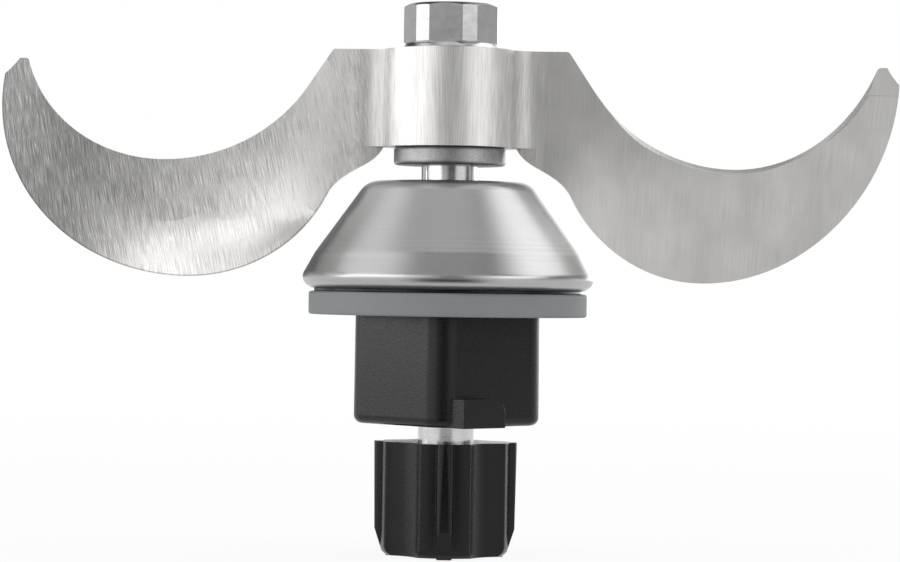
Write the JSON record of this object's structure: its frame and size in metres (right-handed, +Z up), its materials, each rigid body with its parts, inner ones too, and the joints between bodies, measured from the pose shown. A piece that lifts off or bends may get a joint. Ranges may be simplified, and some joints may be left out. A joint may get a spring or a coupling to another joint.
{
  "type": "food processor blade unit",
  "caption": "Bowl blade unit: curved twisted wings on a bearing spindle with a domed cover, a gasket, a bayonet housing and a lobed drive coupling.",
  "frame": {"origin": "on the spindle's axis, at the level of the gasket's underside, where the unit sits on the bowl's floor", "axes": "+Z up along the spindle towards the nut, +X along the wings, +Y to the back of the pictured view"},
  "size_m": [0.16, 0.052, 0.0985],
  "materials": {
    "nut_steel": "polished facets",
    "blade_steel": "coarse ground",
    "washer_steel": "sand finished",
    "shaft_steel": "polished",
    "cover_steel": "satin, drawn sheet",
    "bearing_steel": "ground",
    "spring_steel": "dark spring steel",
    "gasket_rubber": "matte grey",
    "seal_rubber": "matte black",
    "housing_plastic": "fine spark texture, black",
    "coupling_plastic": "fine grain, black"
  },
  "bodies": {
    "housing": {"bearing_housing": "housing_plastic", "dome_cover": "cover_steel", "cover_o_ring": "seal_rubber", "bowl_gasket": "gasket_rubber", "shaft_seal": "seal_rubber", "seal_spring": "spring_steel", "upper_outer_ring": "bearing_steel", "upper_shields": "bearing_steel", "lower_outer_ring": "bearing_steel", "lower_shields": "bearing_steel", "shim_ring": "spring_steel", "bore_ring": "spring_steel"},
    "spindle": {"spindle_shaft": "shaft_steel", "lock_nut": "nut_steel", "blade": "blade_steel", "spacer_washer": "washer_steel", "upper_shaft_ring": "spring_steel", "lower_shaft_ring": "spring_steel", "bearing_spacer": "bearing_steel", "upper_inner_ring": "bearing_steel", "lower_inner_ring": "bearing_steel", "drive_coupling": "coupling_plastic", "screw_washer": "washer_steel", "coupling_screw": "shaft_steel"},
    "upper_ball_set": {"upper_balls": "bearing_steel", "upper_cage": "bearing_steel"},
    "lower_ball_set": {"lower_balls": "bearing_steel", "lower_cage": "bearing_steel"}
  },
  "joints": [
    {"name": "spindle_turn", "type": "hinge", "parent": "housing", "child": "spindle", "pos_m": [0, 0, 0], "axis": [0, 0, 1], "continuous": true},
    {"name": "upper_ball_orbit", "type": "hinge", "parent": "housing", "child": "upper_ball_set", "pos_m": [0, 0, 0.009], "axis": [0, 0, 1], "continuous": true},
    {"name": "lower_ball_orbit", "type": "hinge", "parent": "housing", "child": "lower_ball_set", "pos_m": [0, 0, -0.012], "axis": [0, 0, 1], "continuous": true}
  ],
  "couplings": [
    {"joint": "upper_ball_orbit", "follows": "spindle_turn", "ratio": 0.40078},
    {"joint": "lower_ball_orbit", "follows": "spindle_turn", "ratio": 0.40078}
  ]
}
